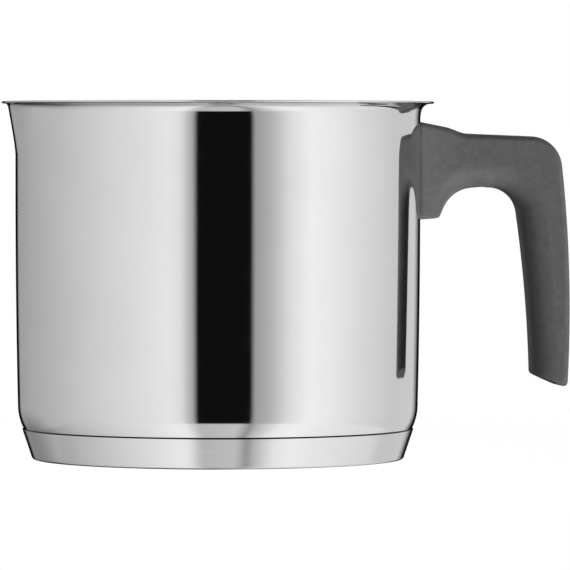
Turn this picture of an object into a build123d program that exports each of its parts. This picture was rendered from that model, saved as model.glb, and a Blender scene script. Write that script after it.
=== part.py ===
from build123d import *
import math
import os

# Melting pot: a round steel vessel with a capsule base and a screwed-on handle.
# Millimetres. The origin is on the vessel's axis, in the plane that the pot stands on.
# +Z is up, +X points to the handle and -X to the pouring lip.

# Vessel wall
INNER_RADIUS = 70.0
WALL = 0.7
RIM_HEIGHT = 124.8
OUTER_RADIUS = INNER_RADIUS + WALL

# Bend from the floor to the wall: three tangent arcs, radii of the outer face
HEEL_RADIUS = 6.1
HEEL_TURN = 63.5
BELLY_RADIUS = 18.0
BELLY_TURN = 25.2
DRAFT_RADIUS = 3200.0
DRAFT_TURN = 90.0 - HEEL_TURN - BELLY_TURN

# Flared rim: two tangent arcs and a nearly flat flange, radii of the outer face
RIM_REACH = 4.8
RIM_RADIUS = OUTER_RADIUS + RIM_REACH
FLARE_RADIUS = 11.0
FLARE_TURN = 15.0
CURL_RADIUS = 3.2
CURL_TURN = 70.0

# Pouring lip: the wall leans out as part of a cone on an offset axis
LIP_DEPTH = 16.8
LIP_LEAN = 10.0
LIP_OFFSET = 17.8

# Capsule base
CAP_SHEET = 0.5
CORE_THICKNESS = 7.0
FLOOR_Z = CAP_SHEET + CORE_THICKNESS
CAP_ABOVE_FLOOR = 3.1
CAP_HEIGHT = FLOOR_Z + CAP_ABOVE_FLOOR
CAP_INSET = 2.3
CAP_TOP_RADIUS = OUTER_RADIUS - CAP_INSET
CAP_LEAN = 18.6
CAP_EDGE_RADIUS = 1.2
CORE_BELOW_CAP = 1.2
CORE_SIDE_HEIGHT = CAP_HEIGHT - CORE_BELOW_CAP

# Handle outline, in the plane of the handle. U is the distance out from the wall,
# and a drop is the distance down from the rim's height.
ROOT_TOP_DROP = 7.2
ROOT_HEIGHT = 34.1
ROOT_BOTTOM_RISE = 0.6
ROOT_TOP_U = 9.3
ROOT_TOP_FALL = 1.75
ROOT_END_U = 7.0
ARM_TOP_U = 14.9
ARM_TOP_DROP = 11.05
ARM_TOP_FALL = 1.4
ARCH_DROP = 30.1
ARCH_START_U = 11.9
CORNER_U = 49.0
REACH = 53.0
REACH_DROP = 67.8
LEG_DROP = 100.6
LEG_END_U = 52.25
LEG_END_RISE = 5.2
LEG_INNER_END_U = 40.3
LEG_INNER_MID_U = 38.45
LEG_INNER_MID_DROP = 63.8
LEG_INNER_TOP_U = 34.1
BLANK_INTO_WALL = 3.0

# Handle rounding
CORNER_RADIUS = 11.5
ROOT_TOP_RADIUS = 14.0
ARM_TOP_RADIUS = 10.0
ARCH_ROOT_RADIUS = 12.5
ARCH_LEG_RADIUS = 10.0
TOP_EDGE_RADIUS = 2.2
END_EDGE_RADIUS = 1.5

# Handle in plan
GRIP_WIDTH = 20.0
FINGER_FLAT = 3.0
FINGER_EDGE_RADIUS = (GRIP_WIDTH - FINGER_FLAT) / 2
ROOT_SPREAD = 2.0
ROOT_WIDTH = GRIP_WIDTH + 2 * ROOT_SPREAD
ROOT_FLARE_LENGTH = 15.0
SEAT_CLEARANCE = 0.05

# Bracket on the wall
BRACKET_SHEET = 1.2
BRACKET_CLEARANCE = 0.2
POCKET_SIDE_WALL = 3.0
TONGUE_WIDTH = GRIP_WIDTH - 2 * POCKET_SIDE_WALL - 2 * BRACKET_CLEARANCE
TONGUE_LENGTH = 29.0
TONGUE_CORNER_RADIUS = 2.9
PLATE_MARGIN = 1.7
PLATE_WIDTH = TONGUE_WIDTH + 2 * PLATE_MARGIN
PLATE_HEIGHT = 20.0
WELD_RADIUS = 1.5

# Screw joint of the handle
SCREW_DIAMETER = 4.0
SCREW_U = 22.4
SCREW_HEAD_RIM = 1.2
SCREW_HEAD_DIAMETER = SCREW_DIAMETER + 2 * SCREW_HEAD_RIM
SCREW_HEAD_HEIGHT = 2.6
SCREW_HEAD_ROUND = 0.6
SCREW_HEAD_SINK = 0.3
SCREW_TIP = 1.0
SCREW_TIP_CHAMFER = 0.5
HEX_KEY = 2.5
HEX_KEY_DEPTH = 1.5
SCREW_HOLE_CLEARANCE = 0.125
HEAD_CLEARANCE = 0.3
THREAD_CLEARANCE = 0.05
CLAMPED_THICKNESS = 2.4
WASHER_THICKNESS = 1.0
WASHER_GAP = 1.5
NUT_RIM = 1.5
NUT_ACROSS_FLATS = SCREW_DIAMETER + 2 * NUT_RIM
NUT_HEIGHT = 3.2
NUT_CHAMFER = 0.4
POCKET_HEADROOM = 1.5

# Working values
CUT_MARGIN = 1.0
EPS = 0.01
AT_BOTTOM = (Align.CENTER, Align.CENTER, Align.MIN)
FROM_INNER_END = (Align.MIN, Align.CENTER, Align.MIN)


def chain(start, heading, steps):
    """Edges joined end to end and tangent: a step is (length,) or (radius, turn in degrees)."""
    edges = []
    place = Vector(*start)
    direction = Vector(*heading)
    for step in steps:
        if len(step) == 1:
            edge = Line(place, place + direction * step[0])
        else:
            edge = JernArc(place, direction, step[0], step[1])
        edges.append(edge)
        place = edge @ 1
        direction = edge % 1
    return edges


def run_of(radius, turn_from, turn_to):
    """Horizontal and vertical run of an arc between two headings, in degrees above horizontal."""
    low = math.radians(turn_from)
    high = math.radians(turn_to)
    return radius * (math.sin(high) - math.sin(low)), radius * (math.cos(low) - math.cos(high))


def floor_flat_radius():
    """Radius where the flat floor ends and the heel starts."""
    heel, _ = run_of(HEEL_RADIUS, 0.0, HEEL_TURN)
    belly, _ = run_of(BELLY_RADIUS, HEEL_TURN, HEEL_TURN + BELLY_TURN)
    draft, _ = run_of(DRAFT_RADIUS, HEEL_TURN + BELLY_TURN, 90.0)
    return OUTER_RADIUS - heel - belly - draft


def wall_start_z():
    """Height where the upright stretch of the wall starts."""
    _, heel = run_of(HEEL_RADIUS, 0.0, HEEL_TURN)
    _, belly = run_of(BELLY_RADIUS, HEEL_TURN, HEEL_TURN + BELLY_TURN)
    _, draft = run_of(DRAFT_RADIUS, HEEL_TURN + BELLY_TURN, 90.0)
    return FLOOR_Z + heel + belly + draft


def flare_runs():
    """Run outwards and upwards of the flare and the curl together, on the outer face."""
    flare_turn = math.radians(FLARE_TURN)
    both_turn = math.radians(FLARE_TURN + CURL_TURN)
    out = FLARE_RADIUS * (1 - math.cos(flare_turn))
    out += CURL_RADIUS * (math.cos(flare_turn) - math.cos(both_turn))
    up = FLARE_RADIUS * math.sin(flare_turn)
    up += CURL_RADIUS * (math.sin(both_turn) - math.sin(flare_turn))
    return out, up


def flange_length():
    """Length of the straight flange, from the curl to the rim's rounded edge."""
    out, _ = flare_runs()
    slope = math.radians(90.0 - FLARE_TURN - CURL_TURN)
    return (RIM_RADIUS - WALL / 2 - OUTER_RADIUS - out) / math.cos(slope)


def flare_start_z():
    """Height where the wall starts to flare, so that the rim's top is at RIM_HEIGHT."""
    _, up = flare_runs()
    slope = math.radians(90.0 - FLARE_TURN - CURL_TURN)
    top_of_edge = WALL * math.cos(slope)
    return RIM_HEIGHT - up - flange_length() * math.sin(slope) - top_of_edge


def sheet_steps(inset):
    """Steps along the sheet from floor to rim, inset from the outer face."""
    return [
        (floor_flat_radius(),),
        (HEEL_RADIUS - inset, HEEL_TURN),
        (BELLY_RADIUS - inset, BELLY_TURN),
        (DRAFT_RADIUS - inset, DRAFT_TURN),
        (flare_start_z() - wall_start_z(),),
        (FLARE_RADIUS + inset, -FLARE_TURN),
        (CURL_RADIUS + inset, -CURL_TURN),
        (flange_length(),),
    ]


def turned(edges):
    """Solid made by turning a closed outline, given in radius and height, about the axis."""
    outline = Plane.XZ * make_face(edges)
    return revolve(outline, Axis.Z, 360)


def vessel_sheet():
    """The drawn vessel before its pouring lip is pressed."""
    outer = chain((0, FLOOR_Z), (1, 0), sheet_steps(0.0))
    inner = chain((0, FLOOR_Z + WALL), (1, 0), sheet_steps(WALL))
    rim_edge = chain(outer[-1] @ 1, outer[-1] % 1, [(WALL / 2, 180.0)])
    axis_side = Line((0, FLOOR_Z), (0, FLOOR_Z + WALL))
    return turned(outer + rim_edge + inner + [axis_side])


def vessel_space(inset):
    """Everything inside the sheet's face at this inset, up to where the flange starts."""
    steps = sheet_steps(inset)[:-1]
    side = chain((0, FLOOR_Z + inset), (1, 0), steps)
    top = side[-1] @ 1
    closing = [Line(top, (0, top.Y)), Line((0, top.Y), (0, FLOOR_Z + inset))]
    return turned(side + closing)


def lip_cone(inset):
    """Cone that the pouring lip is part of: its outer face, or its inner face with an inset."""
    start_z = RIM_HEIGHT - LIP_DEPTH
    lean = math.tan(math.radians(LIP_LEAN))
    side = inset / math.cos(math.radians(LIP_LEAN))
    low_radius = OUTER_RADIUS - LIP_OFFSET - side
    top_z = RIM_HEIGHT + WALL
    if inset == 0.0:
        top_z = flange_underside_z()
    height = top_z - start_z
    cone = Cone(low_radius, low_radius + lean * height, height, align=AT_BOTTOM)
    return Pos(-LIP_OFFSET, 0, start_z) * cone


def flange_underside_z():
    """Height of the flange's underside where the curl ends."""
    _, up = flare_runs()
    return flare_start_z() + up


def make_pot_shell():
    sheet = vessel_sheet()
    lip_blank = lip_cone(0.0) - vessel_space(WALL)
    return sheet + lip_blank - lip_cone(WALL)


def vessel_block():
    """The vessel's outer shape as a full block, to fit the base to it."""
    return vessel_space(0.0)


def cap_radius(z):
    """Outer radius of the capsule's cone at a height."""
    return CAP_TOP_RADIUS - (CAP_HEIGHT - z) * math.tan(math.radians(CAP_LEAN))


def cap_inner_radius(z):
    """Inner radius of the capsule's cone at a height."""
    return cap_radius(z) - CAP_SHEET / math.cos(math.radians(CAP_LEAN))


def cap_block(bottom_z, top_z, radius_at, edge_radius):
    """Frustum with a rounded lower edge."""
    low = radius_at(bottom_z)
    high = radius_at(top_z)
    points = [(0, bottom_z), (low, bottom_z), (high, top_z), (0, top_z)]
    outline = make_face(Polyline(*points, close=True))
    corner = outline.vertices().sort_by_distance((low, bottom_z))[0]
    return revolve(Plane.XZ * fillet(corner, edge_radius), Axis.Z, 360)


def make_base_cap():
    outer = cap_block(0.0, CAP_HEIGHT, cap_radius, CAP_EDGE_RADIUS)
    inner = cap_block(CAP_SHEET, CAP_HEIGHT + EPS, cap_inner_radius, CAP_EDGE_RADIUS - CAP_SHEET)
    return outer - inner - vessel_block()


def make_base_core():
    block = cap_block(CAP_SHEET, CORE_SIDE_HEIGHT, cap_inner_radius, CAP_EDGE_RADIUS - CAP_SHEET)
    return block - vessel_block()


def handle_point(u, drop):
    """A point of the handle's outline in X and Z."""
    return (OUTER_RADIUS + u, RIM_HEIGHT - drop)


def grip_outline():
    """Side view of the handle as a face, with its corners rounded."""
    root_bottom = ROOT_TOP_DROP + ROOT_HEIGHT
    top_slope = ROOT_TOP_FALL / ROOT_TOP_U
    root_top_wall = handle_point(-BLANK_INTO_WALL, ROOT_TOP_DROP - BLANK_INTO_WALL * top_slope)
    root_top_end = handle_point(ROOT_TOP_U, ROOT_TOP_DROP + ROOT_TOP_FALL)
    arm_top_start = handle_point(ARM_TOP_U, ARM_TOP_DROP)
    corner = handle_point(CORNER_U, ARM_TOP_DROP + ARM_TOP_FALL)
    leg_outer_mid = handle_point(REACH, REACH_DROP)
    leg_outer_end = handle_point(LEG_END_U, LEG_DROP)
    leg_inner_end = handle_point(LEG_INNER_END_U, LEG_DROP - LEG_END_RISE)
    leg_inner_mid = handle_point(LEG_INNER_MID_U, LEG_INNER_MID_DROP)
    arch_leg = handle_point(LEG_INNER_TOP_U, ARCH_DROP)
    arch_root = handle_point(ARCH_START_U, ARCH_DROP)
    root_end = handle_point(ROOT_END_U, root_bottom - ROOT_BOTTOM_RISE)
    root_bottom_wall = handle_point(-BLANK_INTO_WALL, root_bottom)
    edges = [
        Line(root_top_wall, root_top_end),
        Line(root_top_end, arm_top_start),
        Line(arm_top_start, corner),
        ThreePointArc(corner, leg_outer_mid, leg_outer_end),
        Line(leg_outer_end, leg_inner_end),
        ThreePointArc(leg_inner_end, leg_inner_mid, arch_leg),
        Line(arch_leg, arch_root),
        Line(arch_root, root_end),
        Line(root_end, root_bottom_wall),
        Line(root_bottom_wall, root_top_wall),
    ]
    rounding = [
        (root_top_end, ROOT_TOP_RADIUS),
        (arm_top_start, ARM_TOP_RADIUS),
        (corner, CORNER_RADIUS),
        (arch_leg, ARCH_LEG_RADIUS),
        (arch_root, ARCH_ROOT_RADIUS),
    ]
    outline = make_face(edges)
    for point, radius in rounding:
        vertex = outline.vertices().sort_by_distance(point)[0]
        outline = fillet(vertex, radius)
    return outline


def grip_plan():
    """Plan view of the handle as a face: an even width that widens to the root."""
    half = GRIP_WIDTH / 2
    root_half = ROOT_WIDTH / 2
    start_x = OUTER_RADIUS + ROOT_FLARE_LENGTH
    end_x = OUTER_RADIUS + REACH + half
    rise = root_half - half
    radius = (ROOT_FLARE_LENGTH ** 2 + rise ** 2) / (2 * rise)
    turn = math.degrees(math.asin(ROOT_FLARE_LENGTH / radius))
    back_x = OUTER_RADIUS - root_half
    sides = []
    for sign in (1, -1):
        straight = Line((end_x, sign * half), (start_x, sign * half))
        flare = JernArc((start_x, sign * half), (-1, 0), radius, -sign * turn)
        inside = Line(flare @ 1, (back_x, (flare @ 1).Y))
        sides += [straight, flare, inside]
    ends = [Line((end_x, half), (end_x, -half)), Line((back_x, root_half), (back_x, -root_half))]
    return make_face(sides + ends)


def on_side(edge):
    """Whether an edge runs along one of the handle's two side faces."""
    size = edge.bounding_box().size
    upright = size.X < EPS and size.Y < EPS
    return abs(edge.center().Y) > GRIP_WIDTH / 2 - EPS and not upright


def on_finger_side(edge):
    """Whether an edge runs along the arch or the leg's inner face."""
    place = edge.center()
    beyond_root = place.X > OUTER_RADIUS + ROOT_END_U - EPS
    before_leg_back = place.X < OUTER_RADIUS + LEG_INNER_END_U
    under_arm = place.Z < RIM_HEIGHT - ARCH_DROP + EPS
    above_end = place.Z > RIM_HEIGHT - LEG_DROP + LEG_END_RISE
    return beyond_root and before_leg_back and under_arm and above_end


def on_back_side(edge):
    """Whether an edge runs along the handle's top or the leg's outer face."""
    place = edge.center()
    is_leg_end = place.Z < RIM_HEIGHT - LEG_DROP + LEG_END_RISE
    is_root_bottom = place.Z < RIM_HEIGHT - ARCH_DROP and place.X < OUTER_RADIUS + ROOT_END_U
    return not (is_leg_end or is_root_bottom or on_finger_side(edge))


def flat_face_near(solid, u, drop):
    """The flat face whose centre is nearest a point of the handle's outline."""
    x, z = handle_point(u, drop)
    return solid.faces().filter_by(GeomType.PLANE).sort_by_distance((x, 0, z))[0]


def grip_blank():
    """The handle's outer shape, with its edges rounded."""
    side = extrude(Plane.XZ * grip_outline(), ROOT_WIDTH, both=True)
    plan = extrude(grip_plan(), RIM_HEIGHT)
    grip = side & plan
    grip = fillet(grip.edges().filter_by(on_side).filter_by(on_back_side), TOP_EDGE_RADIUS)
    grip = fillet(grip.edges().filter_by(on_side).filter_by(on_finger_side), FINGER_EDGE_RADIUS)
    leg_end = flat_face_near(grip, (LEG_END_U + LEG_INNER_END_U) / 2, LEG_DROP - LEG_END_RISE / 2)
    grip = fillet(leg_end.edges(), END_EDGE_RADIUS)
    root_bottom = flat_face_near(grip, ROOT_END_U / 2, ROOT_TOP_DROP + ROOT_HEIGHT)
    return fillet(root_bottom.edges(), END_EDGE_RADIUS)


def head_z():
    """Height of the screw head's underside, just inside the arch."""
    return RIM_HEIGHT - ARCH_DROP + SCREW_HEAD_SINK


def seat_z():
    """Height of the face in the counterbore that the washer bears on."""
    return head_z() + SCREW_HEAD_HEIGHT + WASHER_THICKNESS


def tongue_z():
    """Height of the tongue's underside."""
    return seat_z() + CLAMPED_THICKNESS


def wall_plate(thickness, width, height, margin):
    """Curved plate on the wall, centred on the tongue, grown by a margin on its edges."""
    centre_z = tongue_z() + BRACKET_SHEET / 2
    low_z = centre_z - height / 2 - margin
    full_height = height + 2 * margin
    ring = Cylinder(OUTER_RADIUS + thickness, full_height, align=AT_BOTTOM)
    ring -= Cylinder(OUTER_RADIUS, full_height, align=AT_BOTTOM)
    window = Box(2 * OUTER_RADIUS, width + 2 * margin, full_height, align=FROM_INNER_END)
    return Pos(0, 0, low_z) * (ring & window)


def outward_bar(length, width, z, height):
    """Bar that reaches out from inside the wall's plate to a length from the wall."""
    start_x = OUTER_RADIUS + BRACKET_SHEET / 2
    size_x = length - BRACKET_SHEET / 2
    bar = Box(size_x, width, height, align=FROM_INNER_END)
    return Pos(start_x, 0, z) * bar


def on_screw_axis(solid, z):
    """A solid made at the origin, moved to a height on the handle screw's axis."""
    return Pos(OUTER_RADIUS + SCREW_U, 0, z) * solid


def screw_rod(radius, z, height):
    """Upright cylinder on the handle screw's axis."""
    return on_screw_axis(Cylinder(radius, height, align=AT_BOTTOM), z)


def screw_bore(clearance, z, height):
    """Cutter for a hole that the screw's shank passes through, longer than the hole at both ends."""
    return screw_rod(SCREW_DIAMETER / 2 + clearance, z - CUT_MARGIN, height + 2 * CUT_MARGIN)


def make_handle_bracket():
    plate = wall_plate(BRACKET_SHEET, PLATE_WIDTH, PLATE_HEIGHT, 0.0)
    tongue = outward_bar(TONGUE_LENGTH, TONGUE_WIDTH, tongue_z(), BRACKET_SHEET)
    end_corners = tongue.edges().filter_by(Axis.Z).sort_by(Axis.X)[-2:]
    bracket = plate + fillet(end_corners, TONGUE_CORNER_RADIUS)
    corner = (OUTER_RADIUS + BRACKET_SHEET, 0, tongue_z() + BRACKET_SHEET)
    weld_edge = bracket.edges().sort_by_distance(corner)[0]
    bracket = fillet(weld_edge, WELD_RADIUS)
    return bracket - screw_bore(SCREW_HOLE_CLEARANCE, tongue_z(), BRACKET_SHEET)


def make_bracket_nut():
    z = tongue_z() + BRACKET_SHEET
    hexagon = RegularPolygon(NUT_ACROSS_FLATS / 2, 6, major_radius=False)
    prism = on_screw_axis(extrude(hexagon, NUT_HEIGHT), z)
    corner_radius = NUT_ACROSS_FLATS / math.sqrt(3)
    low_radius = corner_radius + NUT_HEIGHT - NUT_CHAMFER
    crown = on_screw_axis(Cone(low_radius, corner_radius - NUT_CHAMFER, NUT_HEIGHT, align=AT_BOTTOM), z)
    return (prism & crown) - screw_bore(THREAD_CLEARANCE, z, NUT_HEIGHT)


def make_handle_screw():
    tip_z = tongue_z() + BRACKET_SHEET + NUT_HEIGHT + SCREW_TIP
    head = screw_rod(SCREW_HEAD_DIAMETER / 2, head_z(), SCREW_HEAD_HEIGHT)
    head = fillet(head.edges().sort_by(Axis.Z)[0], SCREW_HEAD_ROUND)
    shank_z = head_z() + SCREW_HEAD_HEIGHT
    shank = screw_rod(SCREW_DIAMETER / 2, shank_z, tip_z - shank_z)
    shank = chamfer(shank.edges().sort_by(Axis.Z)[-1], SCREW_TIP_CHAMFER)
    key = extrude(RegularPolygon(HEX_KEY / 2, 6, major_radius=False), HEX_KEY_DEPTH)
    return head + shank - on_screw_axis(key, head_z())


def make_lock_washer():
    z = seat_z() - WASHER_THICKNESS
    ring = screw_rod(SCREW_HEAD_DIAMETER / 2, z, WASHER_THICKNESS)
    gap = Box(SCREW_HEAD_DIAMETER, WASHER_GAP, WASHER_THICKNESS, align=FROM_INNER_END)
    return ring - screw_bore(SCREW_HOLE_CLEARANCE, z, WASHER_THICKNESS) - on_screw_axis(gap, z)


def make_handle_grip():
    seat = Cylinder(OUTER_RADIUS + SEAT_CLEARANCE, RIM_HEIGHT, align=AT_BOTTOM)
    recess_depth = BRACKET_SHEET + BRACKET_CLEARANCE
    plate_recess = wall_plate(recess_depth, PLATE_WIDTH, PLATE_HEIGHT, BRACKET_CLEARANCE)
    pocket_height = BRACKET_SHEET + NUT_HEIGHT + SCREW_TIP + POCKET_HEADROOM
    pocket_length = TONGUE_LENGTH + BRACKET_CLEARANCE
    pocket_width = TONGUE_WIDTH + 2 * BRACKET_CLEARANCE
    pocket = outward_bar(pocket_length, pocket_width, tongue_z(), pocket_height)
    hole = screw_bore(SCREW_HOLE_CLEARANCE, seat_z(), CLAMPED_THICKNESS)
    counterbore_radius = SCREW_HEAD_DIAMETER / 2 + HEAD_CLEARANCE
    counterbore = screw_rod(counterbore_radius, seat_z() - ROOT_HEIGHT, ROOT_HEIGHT)
    return grip_blank() - seat - plate_recess - pocket - hole - counterbore


MAKERS = {
    "pot_shell": make_pot_shell,
    "base_core": make_base_core,
    "base_cap": make_base_cap,
    "handle_bracket": make_handle_bracket,
    "bracket_nut": make_bracket_nut,
    "handle_grip": make_handle_grip,
    "lock_washer": make_lock_washer,
    "handle_screw": make_handle_screw,
}

os.makedirs("parts", exist_ok=True)
for name, maker in MAKERS.items():
    part = maker()
    export_step(part, os.path.join("parts", name + ".step"))
    print(name, "solids", len(part.solids()), "volume", round(part.volume, 2), "valid", part.is_valid)
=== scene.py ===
import math

import bmesh
import bpy
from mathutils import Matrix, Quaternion, Vector


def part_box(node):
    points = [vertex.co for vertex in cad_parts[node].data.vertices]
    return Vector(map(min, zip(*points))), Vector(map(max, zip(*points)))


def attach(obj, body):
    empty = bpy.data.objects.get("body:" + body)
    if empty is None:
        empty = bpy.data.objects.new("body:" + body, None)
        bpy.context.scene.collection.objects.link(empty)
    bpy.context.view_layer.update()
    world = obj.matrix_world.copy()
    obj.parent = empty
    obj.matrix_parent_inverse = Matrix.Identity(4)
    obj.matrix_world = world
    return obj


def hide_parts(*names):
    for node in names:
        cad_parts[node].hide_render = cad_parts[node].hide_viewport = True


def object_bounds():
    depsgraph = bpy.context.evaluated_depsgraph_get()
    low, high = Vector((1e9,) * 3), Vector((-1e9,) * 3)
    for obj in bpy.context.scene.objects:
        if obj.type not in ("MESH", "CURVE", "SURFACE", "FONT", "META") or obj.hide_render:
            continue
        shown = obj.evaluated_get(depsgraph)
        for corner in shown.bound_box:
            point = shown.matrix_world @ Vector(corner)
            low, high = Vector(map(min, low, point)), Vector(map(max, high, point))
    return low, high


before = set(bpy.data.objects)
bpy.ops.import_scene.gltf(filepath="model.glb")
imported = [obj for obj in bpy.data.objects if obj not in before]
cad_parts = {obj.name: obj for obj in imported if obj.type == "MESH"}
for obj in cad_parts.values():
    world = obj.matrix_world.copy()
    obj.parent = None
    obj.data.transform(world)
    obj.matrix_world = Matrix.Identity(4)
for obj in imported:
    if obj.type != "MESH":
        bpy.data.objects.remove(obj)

# Looks of the melting pot. Lengths are in metres, angles in degrees.
# The origin is on the vessel's axis in the plane it stands on, +X to the handle, -X to the lip.

cad_low, cad_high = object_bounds()
shell_low, shell_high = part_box("pot_shell")
_, cap_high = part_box("base_cap")

MM = 0.001

# Vessel, as the design has it
INNER_RADIUS = 70.0 * MM
WALL = 0.7 * MM
OUTER_RADIUS = INNER_RADIUS + WALL
FLOOR_Z = shell_low.z
RIM_HEIGHT = shell_high.z
RIM_REACH = 4.8 * MM
HEEL = (6.1 * MM, 63.5)
BELLY = (18.0 * MM, 25.2)
DRAFT = (3200.0 * MM, 1.3)
FLARE = (11.0 * MM, 15.0)
CURL = (3.2 * MM, 70.0)

# Pouring lip: a leaning cone on an offset axis, blended into the wall and, more softly, the rim
LIP_DEPTH = 16.8 * MM
LIP_LEAN = 10.0
LIP_OFFSET = 17.8 * MM
LIP_BLEND = 0.8 * MM
LIP_TOP_BLEND = 2.2 * MM

# Capsule base
CAP_SHEET = 0.5 * MM
CAP_HEIGHT = cap_high.z
CAP_TOP_RADIUS = OUTER_RADIUS - 2.3 * MM
CAP_LEAN = 18.6
CAP_EDGE_RADIUS = 1.2 * MM

# Painted shade of the crevice at the capsule's top edge, a dark line in the colour: its reach on the
# vessel above it and on the capsule below it, the share of the reach that is darkest, and the brightness
# left there
SEAM_SHADE_ABOVE = 0.3 * MM
SEAM_SHADE_BELOW = 0.2 * MM
SEAM_SHADE_CORE = 0.7
SEAM_SHADE_TONE = 0.04

# Mesh fineness: segments around the axis, degrees and length along a profile
SEGMENTS = 288
ARC_STEP = 4.0
SPAN = 1.6 * MM
WELD_DISTANCE = 0.002 * MM

# Material slots of a turned piece
OUTSIDE = 0
INSIDE = 1

# Camera, level with the upper wall
CAMERA_AZIMUTH = -7.6
CAMERA_DISTANCE = 1847 * MM
CAMERA_HEIGHT = 110.3 * MM
CAMERA_ROLL = 0.04
AIM_RIGHT = 23.45 * MM
AIM_HEIGHT = 60.7 * MM
LENS = 333.7
SENSOR = 36.0
CLIP_START = 0.05
CLIP_END = 50.0

# Studio: brightness of the light panels, and of the table below them, by bearing from the camera's
# side, positive to the right
PANELS = [
    (-162, 0.0),
    (-158, 0.40),
    (-146, 0.45),
    (-105, 0.64),
    (-60, 0.90),
    (-28, 1.07),
    (-21, 0.98),
    (-14, 0.48),
    (-11.5, 0.0),
    (18.5, 0.0),
    (21, 0.44),
    (30, 0.60),
    (42, 0.98),
    (54, 1.18),
    (68, 1.12),
    (90, 0.93),
    (120, 0.76),
    (150, 0.74),
    (162, 0.0),
]
TABLE_GLOW = [
    (-180, 0.15),
    (-150, 0.27),
    (-125, 0.43),
    (-98, 0.65),
    (-65, 0.88),
    (-26, 1.15),
    (-20, 1.12),
    (-15, 0.85),
    (-11, 0.64),
    (12, 0.72),
    (17, 0.50),
    (19.5, 0.36),
    (24, 0.62),
    (38, 1.10),
    (50, 1.20),
    (95, 1.00),
    (122, 0.90),
    (150, 0.62),
    (180, 0.30),
]
GAP_GLOW = 0.006

# Elevations where the panels start and end, with a soft edge below the foot and on both sides of
# the head
PANEL_FOOT = -21.5
PANEL_HEAD = 38.0
PANEL_FOOT_EDGE = 3.0
PANEL_HEAD_EDGE = 12.0

# Light above the panels: in front, behind and straight up. How far a direction points towards the
# camera, from -1 to 1, says where the light changes from rear to front.
OVERHEAD_GLOW = 0.22
REAR_OVERHEAD_GLOW = 1.05
OVERHEAD_REAR = -0.3
OVERHEAD_FRONT = 0.2
ZENITH_GLOW = 1.20
ZENITH_START = 66.0
ZENITH_END = 74.0

# Faint light low behind the pot, on the left: the elevation and bearings where it starts, and how
# far a direction points to the left, from 0 to -1, for all of it
BACK_GLOW = 0.40
BACK_FOOT = -11.0
BACK_FADE = 1.0
BACK_START = 158.0
BACK_END = 164.0
BACK_SIDE = -0.1

# Shades: elevations where a shade starts and is full, and the brightness that is left. The side's
# shade also starts and is full by bearing.
TABLE_SHADE = (-50.0, -85.0, 0.55)
SIDE_SHADE = (-4.0, -22.0, 0.25)
SIDE_SHADE_BEARINGS = (-120.0, -150.0)

# Fill light that only matt surfaces see: a soft patch low in front, to the right
FILL_BEARING = 46.0
FILL_ELEVATION = -33.0
FILL_FOCUS = 12.0
FILL_STRENGTH = 17.5
FILL_BASE = 0.10

# Floor: a disc that brightens to white over a stretch of its radius
FLOOR_RADIUS = 4.0
FLOOR_SEGMENTS = 96
FLOOR_FADE_START = 80 * MM
FLOOR_FADE_END = 400 * MM
FLOOR_PAPER = 0.8
FLOOR_GLOW = 0.80

# Finishes: noise lies mostly between two values, and its scale is in features per metre. A finish
# has a plain colour and roughness, and the range that noise varies each over.
NOISE_LOW = 0.3
NOISE_HIGH = 0.7
FINE_DETAIL = 4.0
MEDIUM_DETAIL = 3.0
COARSE_DETAIL = 2.0
POLISHED = {
    "colour": (0.72, 0.72, 0.725),
    "colours": ((0.705, 0.706, 0.71), (0.735, 0.735, 0.738)),
    "roughness": 0.05,
    "roughnesses": (0.035, 0.065),
    "relief": 0.0006 * MM,
    "lines": 4200,
    "around": 0.02,
    "cloud": 45,
}
BRUSHED = {
    "colour": (0.66, 0.66, 0.665),
    "colours": ((0.62, 0.62, 0.625), (0.69, 0.69, 0.693)),
    "roughness": 0.26,
    "roughnesses": (0.2, 0.34),
    "relief": 0.007 * MM,
    "lines": 3000,
    "around": 0.015,
    "cloud": 30,
}
CAPSULE = {
    "colour": (0.7, 0.7, 0.705),
    "colours": ((0.68, 0.68, 0.685), (0.72, 0.72, 0.722)),
    "roughness": 0.1,
    "roughnesses": (0.07, 0.13),
    "relief": 0.002 * MM,
    "lines": 3400,
    "around": 0.02,
}
PLASTIC = {
    "colour": (0.06, 0.06, 0.062),
    "colours": ((0.052, 0.052, 0.054), (0.066, 0.066, 0.068)),
    "roughness": 0.5,
    "roughnesses": (0.38, 0.5),
    "relief": 0.04 * MM,
    "specular": 0.3,
    "grain": 2600,
    "mottle": 420,
}

# Hidden metals: name, colour, roughness and scale of the marks, then what all of them share
BRACKET_STEEL = ("bracket_steel", (0.6, 0.6, 0.61), 0.32, 900)
CORE_ALUMINIUM = ("core_aluminium", (0.75, 0.75, 0.76), 0.4, 500)
FASTENER_STEEL = ("fastener_steel", (0.62, 0.62, 0.63), 0.28, 1500)
MARKS_STRETCH = (1, 0.15, 1)
MARKS_DARKENING = 0.88
MARKS_ROUGHNESS = (-0.06, 0.08)
MARKS_RELIEF = 0.01 * MM

# Sockets of a Mix node, whose names repeat for numbers and colours
MIX_FACTOR = 0
MIX_NUMBERS = (2, 3)
MIX_NUMBER_RESULT = 0
MIX_COLOURS = (6, 7)
MIX_COLOUR_RESULT = 2


# ---------------------------------------------------------------- camera

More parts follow.
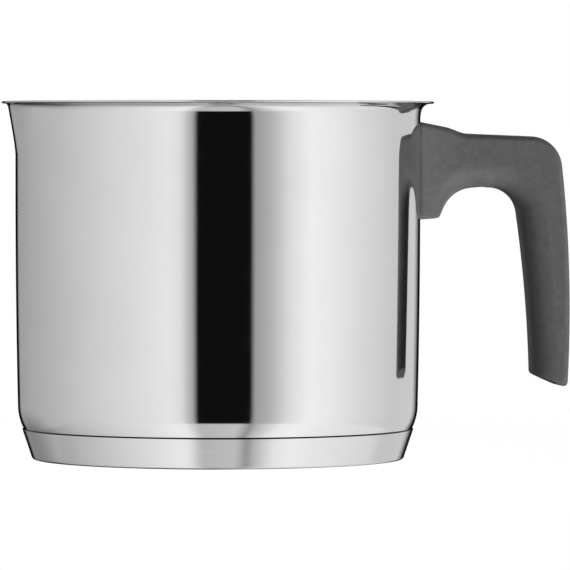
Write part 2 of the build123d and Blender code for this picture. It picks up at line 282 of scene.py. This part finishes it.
def make_camera():
    azimuth = math.radians(CAMERA_AZIMUTH)
    towards = Vector((math.sin(azimuth), -math.cos(azimuth), 0))
    right = Vector((math.cos(azimuth), math.sin(azimuth), 0))
    location = towards * CAMERA_DISTANCE + Vector((0, 0, CAMERA_HEIGHT))
    aim = right * AIM_RIGHT + Vector((0, 0, AIM_HEIGHT))
    data = bpy.data.cameras.new("camera")
    data.lens = LENS
    data.sensor_width = SENSOR
    data.clip_start = CLIP_START
    data.clip_end = CLIP_END
    camera = bpy.data.objects.new("camera", data)
    camera.location = location
    camera.rotation_mode = "QUATERNION"
    level = (aim - location).to_track_quat("-Z", "Y")
    camera.rotation_quaternion = level @ Quaternion((0, 0, 1), math.radians(CAMERA_ROLL))
    bpy.context.scene.collection.objects.link(camera)
    bpy.context.scene.camera = camera
    return towards, right


# ---------------------------------------------------------------- node helpers

def add_node(tree, kind, **values):
    node = tree.nodes.new(kind)
    for name, value in values.items():
        setattr(node, name, value)
    return node


def math_node(tree, operation, first, second=None):
    """A Math node whose inputs are sockets or numbers. Returns its output."""
    node = add_node(tree, "ShaderNodeMath", operation=operation)
    for socket, value in zip(node.inputs, (first, second)):
        if value is None:
            continue
        if isinstance(value, (int, float)):
            socket.default_value = value
        else:
            tree.links.new(value, socket)
    return node.outputs[0]


def dot_with(tree, vector, direction):
    """Dot product of a vector socket with a fixed direction."""
    node = add_node(tree, "ShaderNodeVectorMath", operation="DOT_PRODUCT")
    tree.links.new(vector, node.inputs[0])
    node.inputs[1].default_value = direction
    return node.outputs["Value"]


def map_range(tree, value, low, high, out_low=0.0, out_high=1.0):
    node = add_node(tree, "ShaderNodeMapRange", clamp=True)
    tree.links.new(value, node.inputs["Value"])
    node.inputs["From Min"].default_value = low
    node.inputs["From Max"].default_value = high
    node.inputs["To Min"].default_value = out_low
    node.inputs["To Max"].default_value = out_high
    return node.outputs["Result"]


def grey_ramp(tree, value, stops):
    """Colour ramp in greys. A stop is a position from 0 to 1 and a brightness."""
    node = add_node(tree, "ShaderNodeValToRGB")
    tree.links.new(value, node.inputs["Fac"])
    elements = node.color_ramp.elements
    while len(elements) > 1:
        elements.remove(elements[-1])
    for index, (position, grey) in enumerate(stops):
        element = elements[0] if index == 0 else elements.new(position)
        element.position = position
        element.color = (grey, grey, grey, 1)
    return node.outputs["Color"]


def mix_value(tree, factor, first, second):
    """Blend of two brightness sockets or numbers by a factor socket."""
    node = add_node(tree, "ShaderNodeMix", data_type="FLOAT")
    tree.links.new(factor, node.inputs[MIX_FACTOR])
    for index, value in zip(MIX_NUMBERS, (first, second)):
        if isinstance(value, (int, float)):
            node.inputs[index].default_value = value
        else:
            tree.links.new(value, node.inputs[index])
    return node.outputs[MIX_NUMBER_RESULT]


def object_place(tree):
    return add_node(tree, "ShaderNodeTexCoord").outputs["Object"]


# ---------------------------------------------------------------- studio

def ramp_position(bearing):
    """Position from 0 to 1 of a bearing in degrees."""
    return bearing / 360 + 0.5


def glow_by_bearing(tree, bearing, stops):
    """Brightness from a list of bearings in degrees with their brightness."""
    return grey_ramp(tree, bearing, [(ramp_position(degrees), grey) for degrees, grey in stops])


def fill_light(tree, direction, towards, right):
    """Brightness of the soft patch in a direction."""
    bearing = math.radians(FILL_BEARING)
    elevation = math.radians(FILL_ELEVATION)
    level = towards * math.cos(bearing) + right * math.sin(bearing)
    centre = level * math.cos(elevation) + Vector((0, 0, math.sin(elevation)))
    facing = math_node(tree, "MAXIMUM", dot_with(tree, direction, centre), 0.0)
    patch = math_node(tree, "POWER", facing, FILL_FOCUS)
    return math_node(tree, "ADD", math_node(tree, "MULTIPLY", patch, FILL_STRENGTH), FILL_BASE)


def panel_light(tree, bearing, elevation, ahead, aside):
    """Brightness of the panels, with the dark gaps between them and the faint light low behind."""
    panels = math_node(tree, "ADD", glow_by_bearing(tree, bearing, PANELS), GAP_GLOW)
    start, end = (math.cos(math.radians(edge)) for edge in (BACK_START, BACK_END))
    behind = map_range(tree, ahead, start, end)
    on_left = map_range(tree, aside, 0.0, BACK_SIDE)
    low = map_range(tree, elevation, BACK_FOOT, BACK_FOOT - BACK_FADE, 0.0, BACK_GLOW)
    faint = math_node(tree, "MULTIPLY", math_node(tree, "MULTIPLY", behind, on_left), low)
    return math_node(tree, "ADD", panels, faint)


def table_light(tree, bearing, elevation):
    """Brightness of the table, which is shaded towards the pot's foot."""
    start, end, shade = TABLE_SHADE
    shaded = map_range(tree, elevation, start, end, 1.0, shade)
    return math_node(tree, "MULTIPLY", glow_by_bearing(tree, bearing, TABLE_GLOW), shaded)


def shade_side(tree, glow, bearing, elevation):
    """Darkens the light that is low at the far left."""
    start, end, shade = SIDE_SHADE
    shaded = map_range(tree, elevation, start, end, 1.0, shade)
    near, far = (ramp_position(degrees) for degrees in SIDE_SHADE_BEARINGS)
    to_side = map_range(tree, bearing, near, far)
    return math_node(tree, "MULTIPLY", glow, mix_value(tree, to_side, 1.0, shaded))


def add_overhead(tree, glow, elevation, ahead):
    """Puts the light above the panels over the light below."""
    above = map_range(tree, elevation, PANEL_HEAD - PANEL_HEAD_EDGE, PANEL_HEAD + PANEL_HEAD_EDGE)
    high_glow = map_range(tree, ahead, OVERHEAD_REAR, OVERHEAD_FRONT, REAR_OVERHEAD_GLOW, OVERHEAD_GLOW)
    glow = mix_value(tree, above, glow, high_glow)
    zenith = map_range(tree, elevation, ZENITH_START, ZENITH_END)
    return mix_value(tree, zenith, glow, ZENITH_GLOW)


def studio_light(tree, direction, towards, right):
    """Brightness of the studio in a direction, as glossy surfaces see it."""
    ahead = dot_with(tree, direction, towards)
    aside = dot_with(tree, direction, right)
    turn = math_node(tree, "DIVIDE", math_node(tree, "ARCTAN2", aside, ahead), 2 * math.pi)
    bearing = math_node(tree, "ADD", turn, 0.5)
    up = math_node(tree, "ARCSINE", dot_with(tree, direction, (0, 0, 1)))
    elevation = math_node(tree, "DEGREES", up)
    over_table = map_range(tree, elevation, PANEL_FOOT - PANEL_FOOT_EDGE, PANEL_FOOT)
    table = table_light(tree, bearing, elevation)
    panels = panel_light(tree, bearing, elevation, ahead, aside)
    glow = mix_value(tree, over_table, table, panels)
    glow = shade_side(tree, glow, bearing, elevation)
    return add_overhead(tree, glow, elevation, ahead)


def make_world(towards, right):
    """Two tall light panels with a dark gap between them, over a bright table."""
    world = bpy.data.worlds.new("studio")
    bpy.context.scene.world = world
    world.use_nodes = True
    tree = world.node_tree
    tree.nodes.clear()
    direction = add_node(tree, "ShaderNodeTexCoord").outputs["Generated"]
    path = add_node(tree, "ShaderNodeLightPath")
    glow = studio_light(tree, direction, towards, right)
    fill = fill_light(tree, direction, towards, right)
    glow = mix_value(tree, path.outputs["Is Diffuse Ray"], glow, fill)
    strength = mix_value(tree, path.outputs["Is Camera Ray"], glow, 1.0)
    background = add_node(tree, "ShaderNodeBackground")
    background.inputs["Color"].default_value = (1, 1, 1, 1)
    tree.links.new(strength, background.inputs["Strength"])
    output = add_node(tree, "ShaderNodeOutputWorld")
    tree.links.new(background.outputs[0], output.inputs[0])


def floor_material():
    """Pale floor that brightens to white with distance."""
    material = bpy.data.materials.new("floor")
    material.use_nodes = True
    tree = material.node_tree
    tree.nodes.clear()
    place = object_place(tree)
    length = add_node(tree, "ShaderNodeVectorMath", operation="LENGTH")
    tree.links.new(place, length.inputs[0])
    distance = length.outputs["Value"]
    paper = add_node(tree, "ShaderNodeBsdfDiffuse")
    shade = map_range(tree, distance, FLOOR_FADE_START, FLOOR_FADE_END, FLOOR_PAPER, 0.0)
    tree.links.new(shade, paper.inputs["Color"])
    white = add_node(tree, "ShaderNodeEmission")
    glow = map_range(tree, distance, FLOOR_FADE_START, FLOOR_FADE_END, FLOOR_GLOW, 1.0)
    tree.links.new(glow, white.inputs["Strength"])
    both = add_node(tree, "ShaderNodeAddShader")
    tree.links.new(paper.outputs[0], both.inputs[0])
    tree.links.new(white.outputs[0], both.inputs[1])
    output = add_node(tree, "ShaderNodeOutputMaterial")
    tree.links.new(both.outputs[0], output.inputs[0])
    return material


def make_floor():
    mesh = bpy.data.meshes.new("floor")
    shape = bmesh.new()
    bmesh.ops.create_circle(shape, cap_ends=True, segments=FLOOR_SEGMENTS, radius=FLOOR_RADIUS)
    shape.to_mesh(mesh)
    shape.free()
    floor = bpy.data.objects.new("floor", mesh)
    floor.location.z = cad_low.z
    mesh.materials.append(floor_material())
    bpy.context.scene.collection.objects.link(floor)
    floor.visible_glossy = False
    floor.visible_diffuse = False


# ---------------------------------------------------------------- lathe meshes

def walk(start, heading, steps):
    """Points along straight runs and arcs, in radius and height. A step is (length,) or (radius, turn)."""
    points = [Vector(start)]
    angle = math.radians(heading)
    for step in steps:
        turn = math.radians(step[1]) if len(step) == 2 else 0.0
        length = step[0] * abs(turn) if turn else step[0]
        pieces = max(math.ceil(length / SPAN), math.ceil(abs(math.degrees(turn)) / ARC_STEP), 1)
        for _ in range(pieces):
            part_turn = turn / pieces
            chord = length / pieces
            if turn:
                chord = 2 * step[0] * math.sin(abs(part_turn) / 2)
            middle = angle + part_turn / 2
            points.append(points[-1] + chord * Vector((math.cos(middle), math.sin(middle))))
            angle += part_turn
    return points


def run_of(arc, turned_before):
    """Horizontal and vertical run of an arc that starts at a heading above horizontal."""
    low = math.radians(turned_before)
    high = math.radians(turned_before + arc[1])
    return arc[0] * (math.sin(high) - math.sin(low)), arc[0] * (math.cos(low) - math.cos(high))


def floor_bend():
    """Run outwards and upwards of the bend from the floor to the upright wall, on the outer face."""
    out = up = turned = 0.0
    for arc in (HEEL, BELLY, DRAFT):
        run, rise = run_of(arc, turned)
        out += run
        up += rise
        turned += arc[1]
    return out, up


def flare_bend():
    """Run outwards and upwards of the flare and the curl, on the outer face."""
    first = math.radians(FLARE[1])
    both = math.radians(FLARE[1] + CURL[1])
    out = FLARE[0] * (1 - math.cos(first)) + CURL[0] * (math.cos(first) - math.cos(both))
    up = FLARE[0] * math.sin(first) + CURL[0] * (math.sin(both) - math.sin(first))
    return out, up


def shell_steps(inset):
    """Steps along a face of the sheet from the floor's centre to the rim's edge."""
    bend_out, bend_up = floor_bend()
    flare_out, flare_up = flare_bend()
    slope = math.radians(90 - FLARE[1] - CURL[1])
    flange = (RIM_REACH - WALL / 2 - flare_out) / math.cos(slope)
    flare_z = RIM_HEIGHT - flare_up - flange * math.sin(slope) - WALL * math.cos(slope)
    return [
        (OUTER_RADIUS - bend_out,),
        (HEEL[0] - inset, HEEL[1]),
        (BELLY[0] - inset, BELLY[1]),
        (DRAFT[0] - inset, DRAFT[1]),
        (flare_z - FLOOR_Z - bend_up,),
        (FLARE[0] + inset, -FLARE[1]),
        (CURL[0] + inset, -CURL[1]),
        (flange,),
    ]


def lip_radius(z, bearing, inset):
    """Radius of the pouring lip's cone at a height, at a bearing from the lip's middle."""
    lean = math.radians(LIP_LEAN)
    start_z = RIM_HEIGHT - LIP_DEPTH
    cone = OUTER_RADIUS - LIP_OFFSET - inset / math.cos(lean) + math.tan(lean) * (z - start_z)
    side = LIP_OFFSET * math.sin(bearing)
    if cone <= abs(side) or math.cos(bearing) < 0:
        return 0.0
    return LIP_OFFSET * math.cos(bearing) + math.sqrt(cone ** 2 - side ** 2)


def blended_max(first, second, blend):
    """The larger of two values, with a smooth change between them."""
    overlap = max(blend - abs(first - second), 0.0) / blend
    return max(first, second) + overlap ** 2 * blend / 4


def lathe(name, profile, shape_radius):
    """Closed mesh turned about the axis. A profile point is radius, height, inset and material index."""
    shape = bmesh.new()
    rings = []
    for radius, height, inset, _ in profile:
        if radius < WELD_DISTANCE:
            rings.append([shape.verts.new((0, 0, height))])
            continue
        ring = []
        for segment in range(SEGMENTS):
            angle = 2 * math.pi * segment / SEGMENTS
            reach = shape_radius(radius, height, angle, inset)
            ring.append(shape.verts.new((reach * math.cos(angle), reach * math.sin(angle), height)))
        rings.append(ring)
    for index in range(len(rings) - 1):
        low = rings[index]
        high = rings[index + 1]
        for segment in range(SEGMENTS):
            after = (segment + 1) % SEGMENTS
            corners = [low[segment % len(low)], low[after % len(low)]]
            corners += [high[after % len(high)], high[segment % len(high)]]
            unique = list(dict.fromkeys(corners))
            face = shape.faces.new(unique)
            face.material_index = profile[index][3]
            face.smooth = True
    bmesh.ops.recalc_face_normals(shape, faces=shape.faces)
    mesh = bpy.data.meshes.new(name)
    shape.to_mesh(mesh)
    shape.free()
    piece = bpy.data.objects.new(name, mesh)
    bpy.context.scene.collection.objects.link(piece)
    return piece


def plain_radius(radius, height, angle, inset):
    return radius


def shell_radius(radius, height, angle, inset):
    """Radius of the vessel with its pouring lip, which ends under the flange."""
    share = (height - RIM_HEIGHT + LIP_DEPTH) / LIP_DEPTH
    if share < -LIP_BLEND / LIP_DEPTH:
        return radius
    blend = LIP_BLEND + max(share, 0.0) * (LIP_TOP_BLEND - LIP_BLEND)
    return blended_max(radius, lip_radius(height, angle - math.pi, inset), blend)


def shell_profile():
    """Closed outline of the sheet: outer face, rounded rim, inner face."""
    outer = walk((0, FLOOR_Z), 0, shell_steps(0.0))
    inner = walk((0, FLOOR_Z + WALL), 0, shell_steps(WALL))
    slope = 90 - FLARE[1] - CURL[1]
    rim = walk(outer[-1], slope, [(WALL / 2, 180)])
    profile = [(p.x, p.y, 0.0, OUTSIDE) for p in outer]
    profile += [(p.x, p.y, WALL / 2, OUTSIDE) for p in rim[1:-1]]
    profile += [(p.x, p.y, WALL, INSIDE) for p in reversed(inner)]
    return profile


def cap_profile():
    """Closed outline of the capsule: underside, rounded edge, cone, folded top edge, inside."""
    lean = math.radians(CAP_LEAN)
    side_turn = 90 - CAP_LEAN
    reach = CAP_EDGE_RADIUS * math.tan(math.radians(side_turn / 2))
    base_radius = CAP_TOP_RADIUS - CAP_HEIGHT * math.tan(lean)
    side = CAP_HEIGHT / math.cos(lean) - reach
    fold = CAP_SHEET / 2
    outer_steps = [(base_radius - reach,), (CAP_EDGE_RADIUS, side_turn), (side - fold,)]
    outer = walk((0, 0), 0, outer_steps)
    edge = walk(outer[-1], side_turn, [(fold, 180)])
    inner_steps = [(base_radius - reach,), (CAP_EDGE_RADIUS - CAP_SHEET, side_turn), (side - fold,)]
    inner = walk((0, CAP_SHEET), 0, inner_steps)
    profile = outer + edge[1:-1] + inner[::-1]
    return [(p.x, p.y, 0.0, OUTSIDE) for p in profile]


# ---------------------------------------------------------------- materials

def new_surface(name, colour, metallic, roughness):
    """A material with one Principled shader. Returns the material, its tree and the shader."""
    material = bpy.data.materials.new(name)
    material.use_nodes = True
    tree = material.node_tree
    shader = tree.nodes["Principled BSDF"]
    shader.inputs["Base Color"].default_value = (*colour, 1)
    shader.inputs["Metallic"].default_value = metallic
    shader.inputs["Roughness"].default_value = roughness
    return material, tree, shader


def noise(tree, vector, scale, detail):
    node = add_node(tree, "ShaderNodeTexNoise")
    node.inputs["Scale"].default_value = scale
    node.inputs["Detail"].default_value = detail
    tree.links.new(vector, node.inputs["Vector"])
    return node.outputs["Fac"]


def stretched(tree, vector, scale):
    node = add_node(tree, "ShaderNodeVectorMath", operation="MULTIPLY")
    tree.links.new(vector, node.inputs[0])
    node.inputs[1].default_value = scale
    return node.outputs["Vector"]


def along_profile(tree, place, around_scale):
    """Coordinates for lines that run around the axis: radius plus height, and a little of x and y."""
    parts = add_node(tree, "ShaderNodeSeparateXYZ")
    tree.links.new(place, parts.inputs[0])
    squares = [math_node(tree, "MULTIPLY", parts.outputs[i], parts.outputs[i]) for i in (0, 1)]
    radius = math_node(tree, "SQRT", math_node(tree, "ADD", squares[0], squares[1]))
    distance = math_node(tree, "ADD", radius, parts.outputs[2])
    joined = add_node(tree, "ShaderNodeCombineXYZ")
    for index in (0, 1):
        small = math_node(tree, "MULTIPLY", parts.outputs[index], around_scale)
        tree.links.new(small, joined.inputs[index])
    tree.links.new(distance, joined.inputs[2])
    return joined.outputs[0]


def add_bump(tree, shader, height, distance):
    node = add_node(tree, "ShaderNodeBump")
    node.inputs["Strength"].default_value = 1.0
    node.inputs["Distance"].default_value = distance
    tree.links.new(height, node.inputs["Height"])
    tree.links.new(node.outputs["Normal"], shader.inputs["Normal"])


def vary_roughness(tree, shader, factor, low, high):
    roughness = map_range(tree, factor, NOISE_LOW, NOISE_HIGH, low, high)
    tree.links.new(roughness, shader.inputs["Roughness"])


def vary_colour(tree, shader, factor, dark, light):
    tint = map_range(tree, factor, NOISE_LOW, NOISE_HIGH)
    node = add_node(tree, "ShaderNodeMix", data_type="RGBA")
    tree.links.new(tint, node.inputs[MIX_FACTOR])
    for index, colour in zip(MIX_COLOURS, (dark, light)):
        node.inputs[index].default_value = (*colour, 1)
    tree.links.new(node.outputs[MIX_COLOUR_RESULT], shader.inputs["Base Color"])


def apply_finish(tree, shader, finish, roughness_by, colour_by, relief_by):
    """Varies roughness, colour and relief, each by its own noise."""
    vary_roughness(tree, shader, roughness_by, *finish["roughnesses"])
    vary_colour(tree, shader, colour_by, *finish["colours"])
    add_bump(tree, shader, relief_by, finish["relief"])


def paint_seam_shade(tree, shader, place, reach):
    """Paints the crevice's shade at the seam into the colour: darkens it from a distance above the seam
    and on downwards, so the part of the vessel that the base hides is dark too. A negative reach starts
    below the seam and goes upwards."""
    parts = add_node(tree, "ShaderNodeSeparateXYZ")
    tree.links.new(place, parts.inputs[0])
    # Painted shade: 1 away from the seam, falling to the dark tone in the crevice
    seam_shade_factor = map_range(tree, parts.outputs[2], CAP_HEIGHT + reach, CAP_HEIGHT + SEAM_SHADE_CORE * reach,
                      1.0, SEAM_SHADE_TONE)
    colour = shader.inputs["Base Color"].links[0].from_socket
    node = add_node(tree, "ShaderNodeVectorMath", operation="SCALE")
    tree.links.new(colour, node.inputs[0])
    tree.links.new(seam_shade_factor, node.inputs["Scale"])
    tree.links.new(node.outputs["Vector"], shader.inputs["Base Color"])


def polished_steel():
    material, tree, shader = new_surface("polished_steel", POLISHED["colour"], 1.0, POLISHED["roughness"])
    place = object_place(tree)
    lines_place = along_profile(tree, place, POLISHED["around"])
    lines = noise(tree, lines_place, POLISHED["lines"], COARSE_DETAIL)
    cloud = noise(tree, place, POLISHED["cloud"], MEDIUM_DETAIL)
    apply_finish(tree, shader, POLISHED, cloud, cloud, lines)
    # Painted shade of the crevice on the vessel, just above the capsule's top edge
    paint_seam_shade(tree, shader, place, SEAM_SHADE_ABOVE)
    return material


def brushed_inside():
    material, tree, shader = new_surface("brushed_inside", BRUSHED["colour"], 1.0, BRUSHED["roughness"])
    place = object_place(tree)
    lines_place = along_profile(tree, place, BRUSHED["around"])
    lines = noise(tree, lines_place, BRUSHED["lines"], FINE_DETAIL)
    cloud = noise(tree, place, BRUSHED["cloud"], MEDIUM_DETAIL)
    apply_finish(tree, shader, BRUSHED, lines, cloud, lines)
    return material


def cap_steel():
    material, tree, shader = new_surface("cap_steel", CAPSULE["colour"], 1.0, CAPSULE["roughness"])
    place = object_place(tree)
    lines_place = along_profile(tree, place, CAPSULE["around"])
    lines = noise(tree, lines_place, CAPSULE["lines"], MEDIUM_DETAIL)
    apply_finish(tree, shader, CAPSULE, lines, lines, lines)
    # Painted shade of the crevice on the capsule's folded top edge
    paint_seam_shade(tree, shader, place, -SEAM_SHADE_BELOW)
    return material


def hidden_metal(name, colour, roughness, scale):
    """Satin metal with fine milling marks, for the pieces inside the joint and the base."""
    material, tree, shader = new_surface(name, colour, 1.0, roughness)
    marks = noise(tree, stretched(tree, object_place(tree), MARKS_STRETCH), scale, FINE_DETAIL)
    finish = {
        "colours": (tuple(MARKS_DARKENING * channel for channel in colour), colour),
        "roughnesses": [roughness + change for change in MARKS_ROUGHNESS],
        "relief": MARKS_RELIEF,
    }
    apply_finish(tree, shader, finish, marks, marks, marks)
    return material


def grip_plastic():
    material, tree, shader = new_surface("grip_plastic", PLASTIC["colour"], 0.0, PLASTIC["roughness"])
    place = object_place(tree)
    grain = noise(tree, place, PLASTIC["grain"], MEDIUM_DETAIL)
    mottle = noise(tree, place, PLASTIC["mottle"], MEDIUM_DETAIL)
    apply_finish(tree, shader, PLASTIC, mottle, mottle, grain)
    shader.inputs["Specular IOR Level"].default_value = PLASTIC["specular"]
    return material


# ---------------------------------------------------------------- pieces

def make_vessel(outside, inside):
    vessel = lathe("vessel", shell_profile(), shell_radius)
    vessel.data.materials.append(outside)
    vessel.data.materials.append(inside)
    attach(vessel, "root")
    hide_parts("pot_shell")


def make_capsule(steel):
    capsule = lathe("capsule", cap_profile(), plain_radius)
    capsule.data.materials.append(steel)
    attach(capsule, "root")
    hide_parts("base_cap")


def dress(node, material):
    """Gives a CAD node a material on each of its slots."""
    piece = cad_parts[node]
    if not piece.material_slots:
        piece.data.materials.append(material)
    for slot in piece.material_slots:
        slot.material = material


towards_camera, camera_right = make_camera()
make_world(towards_camera, camera_right)
make_floor()
make_vessel(polished_steel(), brushed_inside())
make_capsule(cap_steel())
dress("handle_grip", grip_plastic())
dress("handle_bracket", hidden_metal(*BRACKET_STEEL))
dress("base_core", hidden_metal(*CORE_ALUMINIUM))
fastener = hidden_metal(*FASTENER_STEEL)
for node_name in ("bracket_nut", "handle_screw", "lock_washer"):
    dress(node_name, fastener)

bpy.context.scene.view_settings.view_transform = "Standard"
